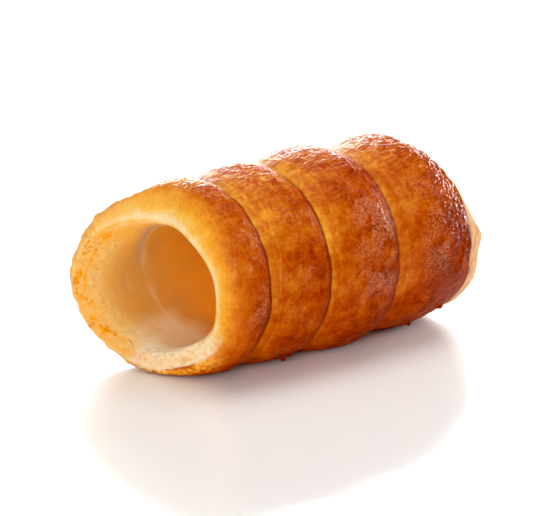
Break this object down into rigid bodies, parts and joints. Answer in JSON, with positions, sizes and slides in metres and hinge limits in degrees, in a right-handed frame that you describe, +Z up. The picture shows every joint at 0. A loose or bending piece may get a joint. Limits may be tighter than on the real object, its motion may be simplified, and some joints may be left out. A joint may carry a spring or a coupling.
{
  "type": "unfilled pastry horn",
  "caption": "Open tube of browned, glazed puff pastry wound as one lapped strip round a smooth bore, lying on its side, with an aslant mouth.",
  "frame": {"origin": "on the surface the pastry lies on, under the centre of its bounding box", "axes": "+X along the bore, away from the mouth that shows; -Y towards the near side; +Z up"},
  "size_m": [0.0988, 0.0522, 0.0496],
  "materials": {
    "crust": "baked crust with an egg glaze, satin, golden at the mouth and browner towards the far end"
  },
  "bodies": {
    "root": {"pastry_shell": "crust"}
  },
  "joints": []
}
